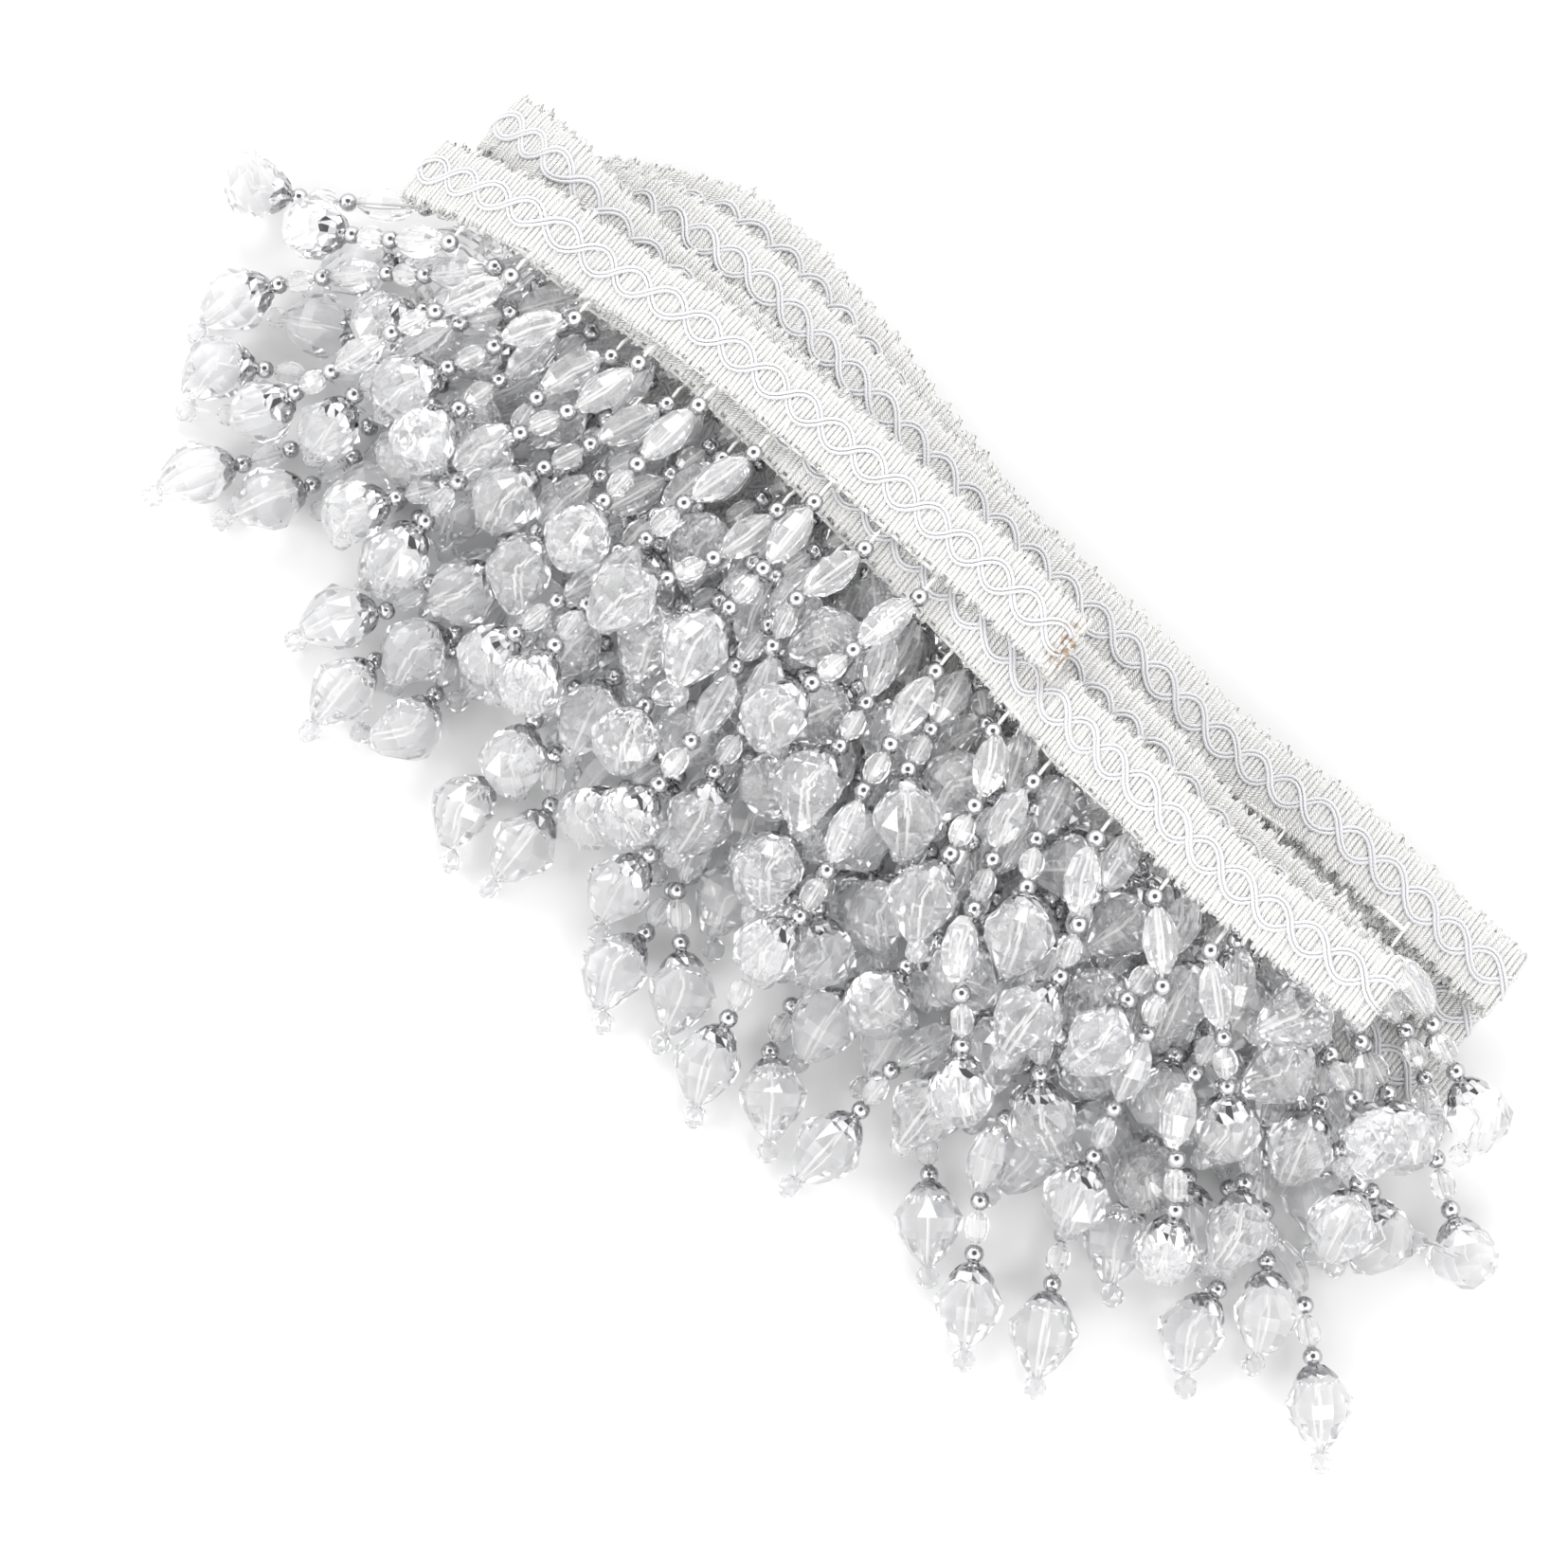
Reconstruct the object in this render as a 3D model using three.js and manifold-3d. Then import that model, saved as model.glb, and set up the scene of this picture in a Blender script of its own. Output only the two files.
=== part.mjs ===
// Beaded fringe trim, folded back and forth into a flat bundle.
// Millimetres, +Z up. X runs along the braid, the beads hang towards -Y, and the lowest pass lies on Z = 0.
// One long braid is one solid. Each pass of it carries a row of beaded strands on its own heading strip.

import * as THREE from 'three';
import { mergeVertices } from 'three/addons/utils/BufferGeometryUtils.js';
import Module from 'manifold-3d';

const wasm = await Module();
wasm.setup();

// Braid, a gimp with looped edges
const BRAID_WIDTH = 13.3;
const BRAID_THICKNESS = 1.8;
const LAYER_GAP = 0.6; // between a pass and whatever it lies on
const STATION_STEP = 12; // between two cross-sections of a pass
const FOLD_STEPS = 4; // cross-sections round half a fold's turn
const PASS_SLOPE = 0.5; // how fast a pass can climb or fall along its length
const END_SLOPE = 0.6; // the same within FOLD_REACH of a fold, where it is pinched flat
const FOLD_REACH = 22;
const FOLD_HEIGHT = 6; // widest opening of a fold
const FOLD_BULGE = 3; // room kept past the end of a pass for its fold
const SLICE = 3; // width of the slices in which the pile under a pass is felt

// Heading strip that carries the strands of one pass
const STRIP_WIDTH = 1.2;
const STRIP_THICKNESS = 1.2;
const PIECE_GAP = 0.3; // between the strip and the braid
const STRIP_INSET = 9; // the strip stops at the last station that is this far from a fold

// Strands: distance along the thread and radius of each cross-section, from the root to the end ball
const LONG_STRAND = [
  { along: 0, radius: 0.5 }, // thread inside the strip
  { along: 3.2, radius: 1.6 }, // metal ball
  { along: 10, radius: 3 }, // olive
  { along: 16.9, radius: 1.7 }, // metal ball
  { along: 25.1, radius: 1.7 }, // metal ball past the small oval
  { along: 32, radius: 3 }, // olive
  { along: 38.8, radius: 1.7 }, // metal ball
  { along: 47.5, radius: 1.8 }, // cap past the small oval
  { along: 55, radius: 5.6 }, // large drop at its widest
  { along: 63, radius: 2 }, // end ball
  { along: 67, radius: 0 }, // tip
];
const SHORT_STRAND = [
  { along: 0, radius: 0.5 }, // thread inside the strip
  { along: 3.2, radius: 1.6 }, // metal ball
  { along: 10, radius: 3 }, // olive
  { along: 16.9, radius: 1.7 }, // metal ball
  { along: 26, radius: 1.8 }, // cap past the small oval
  { along: 33.5, radius: 5.6 }, // large drop at its widest
  { along: 41.5, radius: 2 }, // end ball
  { along: 45.5, radius: 0 }, // tip
];
const STRAND_SIDES = 4;
const STRAND_PITCH = 11.7;
const FIRST_STRAND = 6; // from the end of the strip
const STRAND_CLEARANCE = 0.58; // kept between any two strands
const SAMPLE_STEP = 2; // between the balls that stand for a strand when others are laid on it
const ROOT_ROOM = 4; // kept free in front of a strip for the roots
const STRAIGHT_ROOT = 2; // a strand leaves the strip square to it for this length
const BEND_LENGTH = 14; // and has swung to its own heading here
const MAX_DROP = 0.8; // steepest fall of a strand, as a part of its length
const HEADING_TRIES = 9; // directions tried for each strand, and the lowest lying one is kept
const HEADING_SPREAD = 20; // degrees to each side of the fan
const HEADING_VARIETY = 6; // degrees by which the middle of that range varies
const SWAY = 22; // degrees by which a strand can curve to each side
const SWAY_LENGTH = 14;
const OFFSET_COST = 200; // degrees away from the fan that would double a route's score
const LEAST_ADVANCE = 0.45; // part of its length that a stretch covers in plan, however steep
const SMALLEST_BALL = 1.6;
const PLACING_ROUNDS = 3;
const PLAN_SAMPLES = 60; // along a pass's smooth centreline
const LIFT_SHARE = 0.7; // part of a dip that is lifted out in one round
const LIFT_ROUNDS = 60;

// Settling of the whole pile once all of it is laid
const SETTLE_ROUNDS = 540;
const STILL_ROUNDS = 260; // the last of them, with no weight, in which everything comes clear
const SINK = 0.12; // how far a strand sinks in a round
const PASS_SINK = 0.08;
const PAIR_ROUNDS = 6; // rounds between two searches for what lies close together
const PAIR_REACH = 2;
const STIFFNESS = 0.04; // how strongly a strand evens out its bends
const PASS_STIFFNESS = 0.08;
const PASS_WEIGHT = 0.5; // how readily a pass gives way to a strand
const LEAST_GIVE = 0.3; // keeps a push on a ball from growing without end near a root
const TIP_PULL = 0.6; // share of a stretch that is taken up by its end nearer the tip
const ROOT_PULL = 0.4; // and by its end nearer the root
const ON_SURFACE = 0.1; // a ball this near the surface lies on it
const SAME_POINT = 1e-6;

// Passes of the braid from the lowest to the top one, as they lie.
// The y of the centreline is given at five stations along X, and a fold joins each pass to the next.
const STATIONS = [-105, -55, 0, 55, 105];
const PASSES = [
  { name: 'hidden', farLeft: 14, left: 5, middle: -4, right: -12, farRight: -14, start: 98, end: -92 },
  { name: 'bottom', farLeft: 14, left: 3, middle: -8, right: -18.5, farRight: -10, start: -92, end: 112 },
  { name: 'lower', farLeft: 17, left: 9.8, middle: 4, right: 0, farRight: -3, start: 112, end: -97 },
  { name: 'under', farLeft: 18, left: 14, middle: 9.5, right: 7, farRight: 7, start: -97, end: 106 },
  { name: 'middle', farLeft: 40, left: 29, middle: 18, right: 11, farRight: 8, start: 106, end: -90 },
  { name: 'rear', farLeft: 41, left: 44, middle: 28, right: 18, farRight: 14, start: -90, end: 107 },
  { name: 'back', farLeft: 38, left: 36.4, middle: 26.3, right: 19.4, farRight: 15.2, start: 107, end: -102 },
  { name: 'inner', farLeft: 31, left: 27, middle: 17, right: 5, farRight: -6, start: -102, end: 93 },
  { name: 'front', farLeft: 21, left: 20.5, middle: 11, right: -1.5, farRight: -8, start: 93, end: -108 },
  { name: 'top', farLeft: 18.5, left: 22.3, middle: 17, right: 7, farRight: 0, start: -108, end: 24 },
];

// Direction of the strands along the bundle: degrees from straight out (-Y) towards +X
const FAN = [
  { x: -100, heading: -76 },
  { x: -86, heading: -56 },
  { x: -68, heading: -32 },
  { x: -50, heading: -14 },
  { x: -10, heading: 0 },
  { x: 10, heading: 12 },
  { x: 35, heading: 24 },
  { x: 60, heading: 31 },
  { x: 80, heading: 30 },
  { x: 105, heading: 14 },
];

const MERGE_DISTANCE = 1e-4;
const COLOURS = { braid: 0xf0efec, strand: 0xd4d5dd };

const radians = (degrees) => degrees * Math.PI / 180;

// A fixed number between -1 and 1 for each seed, so that the strands vary in the same way each time
function vary(seed) {
  const wave = Math.sin(seed * 127.1 + 311.7) * 43758.5453;
  return 2 * (wave - Math.floor(wave)) - 1;
}

// Value of a table at x, between its rows on straight lines
function between(rows, x, key) {
  const last = rows.length - 1;
  if (x <= rows[0].x) return rows[0][key];
  if (x >= rows[last].x) return rows[last][key];
  let row = 1;
  while (rows[row].x < x) row += 1;
  const share = (x - rows[row - 1].x) / (rows[row].x - rows[row - 1].x);
  return rows[row - 1][key] * (1 - share) + rows[row][key] * share;
}

// Smooth centreline of a pass in plan, through its five stations
function planCurve(pass) {
  const values = [pass.farLeft, pass.left, pass.middle, pass.right, pass.farRight];
  const spline = new THREE.SplineCurve(STATIONS.map((x, index) => new THREE.Vector2(x, values[index])));
  const rows = spline.getPoints(PLAN_SAMPLES).map((point) => ({ x: point.x, y: point.y }));
  return (x) => between(rows, x, 'y');
}

// Everything laid so far: balls along the strands, in a grid, and the passes of the braid
const CELL = 12;
const pile = { cells: new Map(), passes: [] };

// Notes a ball of a laid strand
function addBall(x, y, z, radius) {
  const key = `${Math.floor(x / CELL)},${Math.floor(y / CELL)}`;
  if (!pile.cells.has(key)) pile.cells.set(key, []);
  pile.cells.get(key).push({ x, y, z, radius });
}

// Visits the balls in the cells round a place
function nearbyBalls(x, y, visit) {
  const column = Math.floor(x / CELL);
  const row = Math.floor(y / CELL);
  for (let i = column - 1; i <= column + 1; i += 1) {
    for (let j = row - 1; j <= row + 1; j += 1) {
      for (const ball of pile.cells.get(`${i},${j}`) ?? []) visit(ball);
    }
  }
}

// Lowest place for the centre of a ball that rests on the surface, the strands and the passes laid so far
function restingHeight(x, y, radius, skippedPass) {
  let height = radius;
  nearbyBalls(x, y, (ball) => {
    const reach = radius + ball.radius + STRAND_CLEARANCE;
    const across = (x - ball.x) ** 2 + (y - ball.y) ** 2;
    if (across < reach * reach) height = Math.max(height, ball.z + Math.sqrt(reach * reach - across));
  });
  for (const pass of pile.passes) {
    if (pass === skippedPass) continue;
    if (x < pass.low - radius - FOLD_BULGE || x > pass.high + radius + FOLD_BULGE) continue;
    const offset = y - pass.yAt(x);
    const back = BRAID_WIDTH / 2 + radius + PIECE_GAP;
    const front = back + PIECE_GAP + STRIP_WIDTH;
    if (offset > back || offset < -front) continue;
    height = Math.max(height, pass.zAt(x) + BRAID_THICKNESS / 2 + LAYER_GAP + radius);
  }
  return height;
}

// Lowest place for the middle of a pass across a narrow slice of its width
function slabHeight(x, yAt) {
  const front = BRAID_WIDTH / 2 + PIECE_GAP + STRIP_WIDTH + ROOT_ROOM;
  const back = BRAID_WIDTH / 2 + PIECE_GAP;
  let support = 0;
  for (const laid of pile.passes) {
    if (x < laid.low - FOLD_BULGE || x > laid.high + FOLD_BULGE) continue;
    const offset = laid.yAt(x) - yAt(x);
    if (Math.abs(offset) > BRAID_WIDTH + PIECE_GAP + STRIP_WIDTH + PIECE_GAP) continue;
    support = Math.max(support, laid.zAt(x) + BRAID_THICKNESS / 2 + LAYER_GAP);
  }
  for (let y = yAt(x) - front; y < yAt(x) + back + CELL; y += CELL) {
    nearbyBalls(x, Math.min(y, yAt(x) + back), (ball) => {
      const offset = ball.y - yAt(x);
      const beyond = Math.max(0, offset - back, -front - offset);
      const ahead = Math.max(0, Math.abs(ball.x - x) - SLICE / 2);
      const rise = ball.radius ** 2 - beyond ** 2 - ahead ** 2;
      if (rise > 0) support = Math.max(support, ball.z + Math.sqrt(rise) + LAYER_GAP);
    });
  }
  return support + BRAID_THICKNESS / 2;
}

// Height of each station of a pass when it is laid on the pile
function layPass(xs, yAt) {
  const zs = xs.map((x) => slabHeight(x, yAt));
  const slices = [];
  for (let i = 1; i < xs.length; i += 1) {
    const steps = Math.ceil(Math.abs(xs[i] - xs[i - 1]) / SLICE);
    for (let step = 1; step < steps; step += 1) {
      const share = step / steps;
      const x = xs[i - 1] + (xs[i] - xs[i - 1]) * share;
      slices.push({ index: i, share, height: slabHeight(x, yAt) });
    }
  }
  const slopeAt = (x) => {
    const toFold = Math.min(Math.abs(x - xs[0]), Math.abs(x - xs[xs.length - 1]));
    return toFold < FOLD_REACH ? END_SLOPE : PASS_SLOPE;
  };
  for (let round = 0; round < LIFT_ROUNDS; round += 1) {
    for (const { index, share, height } of slices) {
      const lack = height - zs[index - 1] * (1 - share) - zs[index] * share;
      if (lack <= 0) continue;
      zs[index - 1] += lack * (1 - share) * LIFT_SHARE;
      zs[index] += lack * share * LIFT_SHARE;
    }
    for (let i = 1; i < zs.length; i += 1) {
      const reach = slopeAt((xs[i] + xs[i - 1]) / 2) * Math.abs(xs[i] - xs[i - 1]);
      zs[i] = Math.max(zs[i], zs[i - 1] - reach);
      zs[i - 1] = Math.max(zs[i - 1], zs[i] - reach);
    }
  }
  return zs;
}

// Route of a strand in plan and height from its root, for one heading and one sway
function strandRoute(root, strand, heading, sway, pass) {
  const headingAt = (along) => {
    const share = THREE.MathUtils.smoothstep(along, STRAIGHT_ROOT, BEND_LENGTH);
    return radians(share * (heading + sway * Math.sin(along / SWAY_LENGTH)));
  };
  const points = strand.map((ring) => new THREE.Vector3(root.x, root.y - ring.along, root.z));
  const placeInPlan = () => {
    for (let i = 1; i < strand.length; i += 1) {
      const length = strand[i].along - strand[i - 1].along;
      const rise = points[i].z - points[i - 1].z;
      const advance = Math.sqrt(Math.max(length ** 2 - rise ** 2, (LEAST_ADVANCE * length) ** 2));
      const direction = headingAt((strand[i].along + strand[i - 1].along) / 2);
      points[i].x = points[i - 1].x + Math.sin(direction) * advance;
      points[i].y = points[i - 1].y - Math.cos(direction) * advance;
    }
  };
  const drop = () => {
    for (let i = 1; i < strand.length; i += 1) {
      const fall = MAX_DROP * (strand[i].along - strand[i - 1].along);
      const floor = restingHeight(points[i].x, points[i].y, Math.max(strand[i].radius, SMALLEST_BALL), pass);
      points[i].z = Math.max(floor, points[i - 1].z - fall);
    }
  };
  placeInPlan();
  for (let round = 0; round < PLACING_ROUNDS; round += 1) {
    drop();
    placeInPlan();
  }
  drop();
  liftClear(points, strand, pass);
  return points;
}

// Balls along the straight stretches between a strand's cross-sections
function strandBalls(points, strand) {
  const balls = [];
  for (let i = 1; i < strand.length; i += 1) {
    const length = strand[i].along - strand[i - 1].along;
    const steps = Math.ceil(length / SAMPLE_STEP);
    for (let step = i === 1 ? 1 : 0; step < steps; step += 1) {
      const share = step / steps;
      const radius = strand[i - 1].radius * (1 - share) + strand[i].radius * share;
      balls.push({ index: i, share, radius });
    }
  }
  return balls;
}

// Raises the cross-sections, all but the root, until no stretch between them dips into the pile
function liftClear(points, strand, pass) {
  const balls = strandBalls(points, strand);
  for (let round = 0; round < LIFT_ROUNDS; round += 1) {
    let worst = 0;
    for (const ball of balls) {
      const before = points[ball.index - 1];
      const after = points[ball.index];
      const x = before.x + (after.x - before.x) * ball.share;
      const y = before.y + (after.y - before.y) * ball.share;
      const z = before.z + (after.z - before.z) * ball.share;
      const lack = restingHeight(x, y, ball.radius, pass) - z;
      if (lack <= 0.01) continue;
      worst = Math.max(worst, lack);
      if (ball.index > 1) before.z += lack * (1 - ball.share) * LIFT_SHARE;
      after.z += lack * ball.share * LIFT_SHARE;
    }
    if (worst === 0) break;
  }
}

// The lowest lying of a few routes round the fan's own heading
function layStrand(root, strand, seed, pass) {
  const nominal = between(FAN, root.x, 'heading') + vary(seed) * HEADING_VARIETY;
  let best = null;
  for (let attempt = 0; attempt < HEADING_TRIES; attempt += 1) {
    for (const sway of [-SWAY, 0, SWAY]) {
      const offset = HEADING_SPREAD * (2 * attempt / (HEADING_TRIES - 1) - 1);
      const route = strandRoute(root, strand, nominal + offset, sway, pass);
      const load = route.reduce((sum, point, i) => sum + (point.z + strand[i].radius) ** 2, 0);
      const score = load * (1 + Math.abs(offset) / OFFSET_COST);
      if (!best || score < best.score) best = { route, score };
    }
  }
  for (const ball of strandBalls(best.route, strand)) {
    const before = best.route[ball.index - 1];
    const after = best.route[ball.index];
    addBall(before.x + (after.x - before.x) * ball.share, before.y + (after.y - before.y) * ball.share,
      before.z + (after.z - before.z) * ball.share, ball.radius);
  }
  return best.route;
}

// Balls of all the strands, each carried by the two cross-sections that it lies between
function pileBalls(strands) {
  return strands.flatMap((strand) => strandBalls(strand.points, strand.shape).map((ball) => ({
    strand,
    rooted: ball.index === 1,
    before: strand.points[ball.index - 1],
    after: strand.points[ball.index],
    back: ball.index === 1 ? 0 : 1 - ball.share,
    fore: ball.share,
    share: ball.share,
    radius: ball.radius,
    centre: new THREE.Vector3(),
  })));
}

// Moves a ball by moving the cross-sections on either side of it, all but the root
function shiftBall(ball, shift) {
  ball.before.addScaledVector(shift, ball.back);
  ball.after.addScaledVector(shift, ball.fore);
}

// Pairs of balls of different strands that are close together
function closePairs(balls) {
  const cells = new Map();
  const pairs = [];
  for (const ball of balls) {
    ball.centre.lerpVectors(ball.before, ball.after, ball.share);
    const [column, row] = [Math.floor(ball.centre.x / CELL), Math.floor(ball.centre.y / CELL)];
    for (let i = column - 1; i <= column + 1; i += 1) {
      for (let j = row - 1; j <= row + 1; j += 1) {
        for (const other of cells.get(`${i},${j}`) ?? []) {
          if (other.strand === ball.strand) continue;
          const reach = ball.radius + other.radius + STRAND_CLEARANCE + PAIR_REACH;
          if (ball.centre.distanceToSquared(other.centre) < reach * reach) pairs.push([ball, other]);
        }
      }
    }
    const key = `${column},${row}`;
    if (!cells.has(key)) cells.set(key, []);
    cells.get(key).push(ball);
  }
  return pairs;
}

// Balls over or under a pass, with the two stations that carry the pass there.
// A strand stays in front of its own pass.
function closeSlabs(balls, passes) {
  const slabs = [];
  for (const ball of balls) {
    for (const pass of passes) {
      const own = pass === ball.strand.pass;
      if (own && ball.rooted) continue;
      const { x, y } = ball.centre;
      if (x < pass.low - ball.radius - FOLD_BULGE || x > pass.high + ball.radius + FOLD_BULGE) continue;
      const back = BRAID_WIDTH / 2 + ball.radius + PIECE_GAP;
      const front = back + PIECE_GAP + STRIP_WIDTH;
      const middle = pass.yAt(x);
      if (y > middle + back + PAIR_REACH || y < middle - front - PAIR_REACH) continue;
      const row = Math.max(1, pass.rows.findIndex((station) => station.x >= x));
      const [left, right] = x > pass.high ? pass.rows.slice(-2) : [pass.rows[row - 1], pass.rows[row]];
      const share = THREE.MathUtils.clamp((x - left.x) / (right.x - left.x), 0, 1);
      const side = ball.strand.pass.order > pass.order ? 1 : -1;
      const reach = ball.radius + FOLD_BULGE;
      slabs.push({
        ball, own, left, right, share, side,
        rear: middle + back,
        face: middle - front,
        low: pass.low - reach,
        high: pass.high + reach,
      });
    }
  }
  return slabs;
}

const shift = new THREE.Vector3();

// Moves the balls of each pair apart
function partPairs(pairs) {
  for (const [ball, other] of pairs) {
    ball.centre.lerpVectors(ball.before, ball.after, ball.share);
    other.centre.lerpVectors(other.before, other.after, other.share);
    shift.subVectors(ball.centre, other.centre);
    const distance = shift.length();
    const lack = ball.radius + other.radius + STRAND_CLEARANCE - distance;
    if (lack <= 0 || distance < SAME_POINT) continue;
    const give = ball.back ** 2 + ball.fore ** 2 + other.back ** 2 + other.fore ** 2;
    shift.multiplyScalar(lack / distance / Math.max(give, LEAST_GIVE));
    shiftBall(ball, shift);
    shiftBall(other, shift.negate());
  }
}

// Moves each ball and the pass that it touches apart
function partSlabs(slabs) {
  for (const { ball, own, left, right, share, side, rear, face, low, high } of slabs) {
    ball.centre.lerpVectors(ball.before, ball.after, ball.share);
    const { x, y, z } = ball.centre;
    if (y >= rear || y <= face || x <= low || x >= high) continue;
    if (own) {
      shiftBall(ball, shift.set(0, face - y, 0));
      continue;
    }
    const height = left.z * (1 - share) + right.z * share;
    const lack = ball.radius + BRAID_THICKNESS / 2 + LAYER_GAP - side * (z - height);
    if (lack <= 0) continue;
    const give = ball.back ** 2 + ball.fore ** 2;
    const sideways = Math.min(rear - y, y - face);
    const endways = Math.min(high - x, x - low);
    if (Math.min(sideways, endways) < Math.min(lack, ball.radius)) {
      if (sideways < endways) shift.set(0, rear - y < y - face ? sideways : -sideways, 0);
      else shift.set(high - x < x - low ? endways : -endways, 0, 0);
      shiftBall(ball, shift.divideScalar(Math.max(give, LEAST_GIVE)));
      continue;
    }
    // A ball that lies on the surface can't sink, so all of the lift goes to the pass
    const grounded = side < 0 && z - ball.radius < ON_SURFACE;
    const passGive = (1 - share) ** 2 + share ** 2;
    const push = lack / (grounded ? passGive : Math.max(give + PASS_WEIGHT * passGive, LEAST_GIVE));
    const passPush = side * push * (grounded ? 1 : PASS_WEIGHT);
    if (!grounded) shiftBall(ball, shift.set(0, 0, side * push));
    left.z -= passPush * (1 - share);
    right.z -= passPush * share;
  }
}

// Keeps each pass over the ones below it, off the surface and free of sharp bends
function partPasses(passes) {
  for (const upper of passes) {
    for (const station of upper.rows) {
      for (const lower of passes.slice(0, upper.order)) {
        if (station.x < lower.low - FOLD_BULGE || station.x > lower.high + FOLD_BULGE) continue;
        const apart = Math.abs(upper.yAt(station.x) - lower.yAt(station.x));
        if (apart > BRAID_WIDTH + 2 * (PIECE_GAP + STRIP_WIDTH)) continue;
        station.z = Math.max(station.z, lower.zAt(station.x) + BRAID_THICKNESS + LAYER_GAP);
      }
    }
    for (const station of lowerStations(upper, passes)) {
      const lack = station.z + BRAID_THICKNESS + LAYER_GAP - upper.zAt(station.x);
      if (lack <= 0) continue;
      const row = Math.max(1, upper.rows.findIndex((other) => other.x >= station.x));
      upper.rows[row - 1].z += lack;
      upper.rows[row].z += lack;
    }
    for (let i = 1; i < upper.rows.length; i += 1) {
      const [before, after] = [upper.rows[i - 1], upper.rows[i]];
      const excess = Math.abs(after.z - before.z) - END_SLOPE * (after.x - before.x);
      if (excess > 0) (after.z > before.z ? before : after).z += excess;
    }
    for (const station of upper.rows) station.z = Math.max(station.z, BRAID_THICKNESS / 2);
    if (upper.order > 0) closeFold(passes[upper.order - 1], upper);
  }
}

// Draws the two ends that a fold joins towards each other where it gapes
function closeFold(lower, upper) {
  const from = upper.xs[0] < 0 ? lower.rows[0] : lower.rows[lower.rows.length - 1];
  const to = upper.xs[0] < 0 ? upper.rows[0] : upper.rows[upper.rows.length - 1];
  const excess = to.z - from.z - FOLD_HEIGHT;
  if (excess <= 0) return;
  from.z += excess / 2;
  to.z -= excess / 2;
}

// Stations of the lower passes that an upper one lies over
function lowerStations(upper, passes) {
  return passes.slice(0, upper.order).flatMap((lower) => lower.rows.filter((station) => {
    const apart = Math.abs(upper.yAt(station.x) - lower.yAt(station.x));
    return station.x >= upper.low && station.x <= upper.high && apart < BRAID_WIDTH + 2 * (PIECE_GAP + STRIP_WIDTH);
  }));
}

// Keeps each strand's stretches at their length, its bends even and its root on its strip
function keepChains(strands) {
  for (const { points, shape, pass, rootX } of strands) {
    points[0].z = pass.zAt(rootX);
    for (let i = 1; i < points.length - 1; i += 1) {
      shift.addVectors(points[i - 1], points[i + 1]).multiplyScalar(0.5).sub(points[i]);
      points[i].addScaledVector(shift, STIFFNESS);
    }
    for (let i = 1; i < points.length; i += 1) {
      shift.subVectors(points[i], points[i - 1]);
      const stretch = shift.length() - (shape[i].along - shape[i - 1].along);
      shift.setLength(stretch);
      if (i === 1) {
        points[i].sub(shift);
      } else {
        points[i].addScaledVector(shift, -TIP_PULL);
        points[i - 1].addScaledVector(shift, ROOT_PULL);
      }
    }
  }
}

// Keeps the strands off the surface that the bundle lies on
function keepAboveSurface(strands) {
  for (const { points, shape } of strands) {
    points.forEach((point, i) => {
      if (i > 0) point.z = Math.max(point.z, shape[i].radius);
    });
  }
}

// Lets the whole pile sink together, then lets everything come clear without weight
function settlePile(strands, passes) {
  const balls = pileBalls(strands);
  let pairs = [];
  let slabs = [];
  for (let round = 0; round < SETTLE_ROUNDS; round += 1) {
    const weight = round < SETTLE_ROUNDS - STILL_ROUNDS ? 1 : 0;
    if (round % PAIR_ROUNDS === 0) {
      pairs = closePairs(balls);
      slabs = closeSlabs(balls, passes);
    }
    for (const { points } of strands) {
      for (const point of points) point.z -= SINK * weight;
    }
    for (const { rows } of passes) {
      for (const station of rows) station.z -= PASS_SINK * weight;
      for (let i = 1; i < rows.length - 1; i += 1) {
        const even = (rows[i - 1].z + rows[i + 1].z) / 2;
        rows[i].z += (even - rows[i].z) * PASS_STIFFNESS * weight;
      }
    }
    keepChains(strands);
    keepAboveSurface(strands);
    partSlabs(slabs);
    partPasses(passes);
    partPairs(pairs);
    keepAboveSurface(strands);
  }
  for (const { points, pass, rootX } of strands) points[0].z = pass.zAt(rootX);
}

// Closed solid through rows of cross-sections with the same number of points each
function loft(rows, tip) {
  const positions = rows.flat().flatMap((point) => point.toArray());
  const sides = rows[0].length;
  const index = [];
  for (let row = 1; row < rows.length; row += 1) {
    for (let side = 0; side < sides; side += 1) {
      const next = (side + 1) % sides;
      const [a, b] = [(row - 1) * sides + side, (row - 1) * sides + next];
      const [c, d] = [row * sides + side, row * sides + next];
      index.push(a, b, d, a, d, c);
    }
  }
  for (let side = 1; side < sides - 1; side += 1) index.push(0, side + 1, side);
  const end = (rows.length - 1) * sides;
  if (tip) {
    positions.push(...tip.toArray());
    for (let side = 0; side < sides; side += 1) index.push(end + side, end + (side + 1) % sides, rows.length * sides);
  } else {
    for (let side = 1; side < sides - 1; side += 1) index.push(end, end + side, end + side + 1);
  }
  const geometry = new THREE.BufferGeometry();
  geometry.setAttribute('position', new THREE.Float32BufferAttribute(positions, 3));
  geometry.setIndex(index);
  return geometry;
}

// Ribbon of a flat cross-section along a centreline, its width held level
function ribbon(centres, width, thickness) {
  const rows = centres.map((centre, i) => {
    const before = centres[Math.max(i - 1, 0)];
    const after = centres[Math.min(i + 1, centres.length - 1)];
    const along = new THREE.Vector3().subVectors(after, before).setY(0).normalize();
    const normal = new THREE.Vector3(-along.z, 0, along.x).multiplyScalar(thickness / 2);
    const half = new THREE.Vector3(0, width / 2, 0);
    const corner = (y, n) => centre.clone().addScaledVector(half, y).addScaledVector(normal, n);
    return [corner(-1, -1), corner(1, -1), corner(1, 1), corner(-1, 1)];
  });
  return loft(rows, null);
}

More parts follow.
